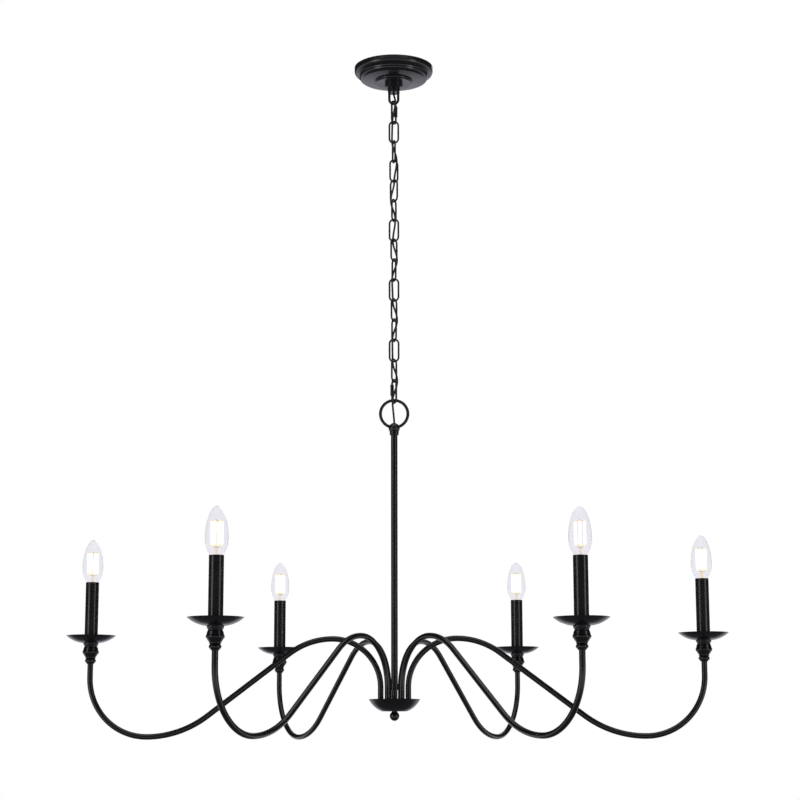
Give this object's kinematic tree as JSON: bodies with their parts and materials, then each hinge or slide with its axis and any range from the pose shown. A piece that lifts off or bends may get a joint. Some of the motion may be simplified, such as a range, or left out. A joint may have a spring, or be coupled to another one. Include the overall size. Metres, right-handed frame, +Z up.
{
  "type": "chandelier",
  "caption": "Black candle-style chandelier: swept tube arms with drip pans and candle bulbs around a slim stem, hung by a ring and chain from a ceiling canopy.",
  "frame": {"origin": "centre of the crossbar's top face, on the ceiling and on the junction box's axis", "axes": "+Z up through the ceiling, +X along the crossbar, -Y towards the room's viewer"},
  "size_m": [1.1073, 0.9903, 1.1657],
  "materials": {
    "black_metal": "satin powder coat",
    "zinc_steel": "zinc plated",
    "cord_black": "smooth sheath",
    "socket_cream": "moulded",
    "bulb_glass": "clear",
    "brass": "plain",
    "filament": "glowing",
    "lead_white": "wire sheath",
    "ground_green": "screw"
  },
  "bodies": {
    "ceiling": {"crossbar": "zinc_steel", "canopy_loop": "black_metal", "supply_cord": "cord_black"},
    "canopy": {"canopy": "black_metal"},
    "collar": {"collar_nut": "black_metal"},
    "quick_link_top": {"quick_link_top": "black_metal"},
    "chain_link_01": {"chain_link_01": "black_metal"},
    "chain_link_02": {"chain_link_02": "black_metal"},
    "chain_link_03": {"chain_link_03": "black_metal"},
    "chain_link_04": {"chain_link_04": "black_metal"},
    "chain_link_05": {"chain_link_05": "black_metal"},
    "chain_link_06": {"chain_link_06": "black_metal"},
    "chain_link_07": {"chain_link_07": "black_metal"},
    "chain_link_08": {"chain_link_08": "black_metal"},
    "chain_link_09": {"chain_link_09": "black_metal"},
    "chain_link_10": {"chain_link_10": "black_metal"},
    "chain_link_11": {"chain_link_11": "black_metal"},
    "chain_link_12": {"chain_link_12": "black_metal"},
    "chain_link_13": {"chain_link_13": "black_metal"},
    "quick_link_bottom": {"quick_link_bottom": "black_metal"},
    "stem": {"top_ring": "black_metal", "stem_tube": "black_metal", "hub_dish": "black_metal"},
    "finial": {"ball_finial": "black_metal"},
    "arm_1": {"arm_tube_1": "black_metal", "arm_cup_1": "black_metal", "drip_pan_1": "black_metal", "lamp_socket_1": "socket_cream", "candle_sleeve_1": "black_metal"},
    "bulb_1": {"bulb_1": "bulb_glass"},
    "arm_2": {"arm_tube_2": "black_metal", "arm_cup_2": "black_metal", "drip_pan_2": "black_metal", "lamp_socket_2": "socket_cream", "candle_sleeve_2": "black_metal"},
    "bulb_2": {"bulb_2": "bulb_glass"},
    "arm_3": {"arm_tube_3": "black_metal", "arm_cup_3": "black_metal", "drip_pan_3": "black_metal", "lamp_socket_3": "socket_cream", "candle_sleeve_3": "black_metal"},
    "bulb_3": {"bulb_3": "bulb_glass"},
    "arm_4": {"arm_tube_4": "black_metal", "arm_cup_4": "black_metal", "drip_pan_4": "black_metal", "lamp_socket_4": "socket_cream", "candle_sleeve_4": "black_metal"},
    "bulb_4": {"bulb_4": "bulb_glass"},
    "arm_5": {"arm_tube_5": "black_metal", "arm_cup_5": "black_metal", "drip_pan_5": "black_metal", "lamp_socket_5": "socket_cream", "candle_sleeve_5": "black_metal"},
    "bulb_5": {"bulb_5": "bulb_glass"},
    "arm_6": {"arm_tube_6": "black_metal", "arm_cup_6": "black_metal", "drip_pan_6": "black_metal", "lamp_socket_6": "socket_cream", "candle_sleeve_6": "black_metal"},
    "bulb_6": {"bulb_6": "bulb_glass"}
  },
  "joints": [
    {"name": "quick_link_top_swing", "type": "hinge", "parent": "ceiling", "child": "quick_link_top", "pos_m": [0, 0, -0.06575], "axis": [1, 0, 0], "range_deg": [-6, 6], "deforming": ["supply_cord"]},
    {"name": "chain_link_01_swing", "type": "hinge", "parent": "quick_link_top", "child": "chain_link_01", "pos_m": [0, 0, -0.10195], "axis": [0.5, 0.866, 0], "range_deg": [-6, 6]},
    {"name": "chain_link_02_swing", "type": "hinge", "parent": "chain_link_01", "child": "chain_link_02", "pos_m": [0, 0, -0.1373], "axis": [1, 0, 0], "range_deg": [-6, 6]},
    {"name": "chain_link_03_swing", "type": "hinge", "parent": "chain_link_02", "child": "chain_link_03", "pos_m": [0, 0, -0.1728], "axis": [0.2756, -0.9613, 0], "range_deg": [-6, 6]},
    {"name": "chain_link_04_swing", "type": "hinge", "parent": "chain_link_03", "child": "chain_link_04", "pos_m": [0, 0, -0.2083], "axis": [-0.848, -0.5299, 0], "range_deg": [-6, 6]},
    {"name": "chain_link_05_swing", "type": "hinge", "parent": "chain_link_04", "child": "chain_link_05", "pos_m": [0, 0, -0.2438], "axis": [-0.7431, 0.6691, 0], "range_deg": [-6, 6]},
    {"name": "chain_link_06_swing", "type": "hinge", "parent": "chain_link_05", "child": "chain_link_06", "pos_m": [0, 0, -0.2793], "axis": [0.4384, 0.8988, 0], "range_deg": [-6, 6]},
    {"name": "chain_link_07_swing", "type": "hinge", "parent": "chain_link_06", "child": "chain_link_07", "pos_m": [0, 0, -0.3148], "axis": [0.9848, -0.1736, 0], "range_deg": [-6, 6]},
    {"name": "chain_link_08_swing", "type": "hinge", "parent": "chain_link_07", "child": "chain_link_08", "pos_m": [0, 0, -0.3503], "axis": [0.6239, 0.7815, 0], "range_deg": [-6, 6]},
    {"name": "chain_link_09_swing", "type": "hinge", "parent": "chain_link_08", "child": "chain_link_09", "pos_m": [0, 0, -0.3858], "axis": [-0.3875, 0.9219, 0], "range_deg": [-6, 6]},
    {"name": "chain_link_10_swing", "type": "hinge", "parent": "chain_link_09", "child": "chain_link_10", "pos_m": [0, 0, -0.4213], "axis": [-0.9949, 0.1011, 0], "range_deg": [-6, 6]},
    {"name": "chain_link_11_swing", "type": "hinge", "parent": "chain_link_10", "child": "chain_link_11", "pos_m": [0, 0, -0.4568], "axis": [-0.565, -0.8251, 0], "range_deg": [-6, 6]},
    {"name": "chain_link_12_swing", "type": "hinge", "parent": "chain_link_11", "child": "chain_link_12", "pos_m": [0, 0, -0.4923], "axis": [0.454, -0.891, 0], "range_deg": [-6, 6]},
    {"name": "chain_link_13_swing", "type": "hinge", "parent": "chain_link_12", "child": "chain_link_13", "pos_m": [0, 0, -0.5278], "axis": [0.9996, -0.0279, 0], "range_deg": [-6, 6]},
    {"name": "quick_link_bottom_swing", "type": "hinge", "parent": "chain_link_13", "child": "quick_link_bottom", "pos_m": [0, 0, -0.5633], "axis": [0.503, 0.8643, 0], "range_deg": [-6, 6]},
    {"name": "stem_swing", "type": "hinge", "parent": "quick_link_bottom", "child": "stem", "pos_m": [0, 0, -0.60015], "axis": [-0.5, 0.866, 0], "range_deg": [-6, 6]},
    {"name": "canopy_drop", "type": "slide", "parent": "ceiling", "child": "canopy", "axis": [0, 0, -1], "range_m": [0, 0.03]},
    {"name": "collar_drop", "type": "slide", "parent": "ceiling", "child": "collar", "axis": [0, 0, -1], "range_m": [0, 0.03]},
    {"name": "finial_turn", "type": "hinge", "parent": "stem", "child": "finial", "pos_m": [0, 0, -1.1269], "axis": [0, 0, 1], "continuous": true},
    {"name": "arm_1_swivel", "type": "hinge", "parent": "stem", "child": "arm_1", "pos_m": [-0.02296, 0.0014, -1.0999], "axis": [0, 0, 1], "range_deg": [-20, 20]},
    {"name": "arm_2_swivel", "type": "hinge", "parent": "stem", "child": "arm_2", "pos_m": [-0.0115, -0.01992, -1.0999], "axis": [0, 0, 1], "range_deg": [-20, 20]},
    {"name": "arm_3_swivel", "type": "hinge", "parent": "stem", "child": "arm_3", "pos_m": [0.01219, -0.01951, -1.0999], "axis": [0, 0, 1], "range_deg": [-20, 20]},
    {"name": "arm_4_swivel", "type": "hinge", "parent": "stem", "child": "arm_4", "pos_m": [0.02297, -0.0012, -1.0999], "axis": [0, 0, 1], "range_deg": [-20, 20]},
    {"name": "arm_5_swivel", "type": "hinge", "parent": "stem", "child": "arm_5", "pos_m": [0.01044, 0.02049, -1.0999], "axis": [0, 0, 1], "range_deg": [-20, 20]},
    {"name": "arm_6_swivel", "type": "hinge", "parent": "stem", "child": "arm_6", "pos_m": [-0.0099, 0.02076, -1.0999], "axis": [0, 0, 1], "range_deg": [-20, 20]},
    {"name": "bulb_1_lift", "type": "slide", "parent": "arm_1", "child": "bulb_1", "axis": [0, 0, 1], "range_m": [0, 0.04]},
    {"name": "bulb_2_lift", "type": "slide", "parent": "arm_2", "child": "bulb_2", "axis": [0, 0, 1], "range_m": [0, 0.04]},
    {"name": "bulb_3_lift", "type": "slide", "parent": "arm_3", "child": "bulb_3", "axis": [0, 0, 1], "range_m": [0, 0.04]},
    {"name": "bulb_4_lift", "type": "slide", "parent": "arm_4", "child": "bulb_4", "axis": [0, 0, 1], "range_m": [0, 0.04]},
    {"name": "bulb_5_lift", "type": "slide", "parent": "arm_5", "child": "bulb_5", "axis": [0, 0, 1], "range_m": [0, 0.04]},
    {"name": "bulb_6_lift", "type": "slide", "parent": "arm_6", "child": "bulb_6", "axis": [0, 0, 1], "range_m": [0, 0.04]}
  ],
  "couplings": [
    {"joint": "collar_drop", "follows": "canopy_drop", "ratio": 1}
  ]
}
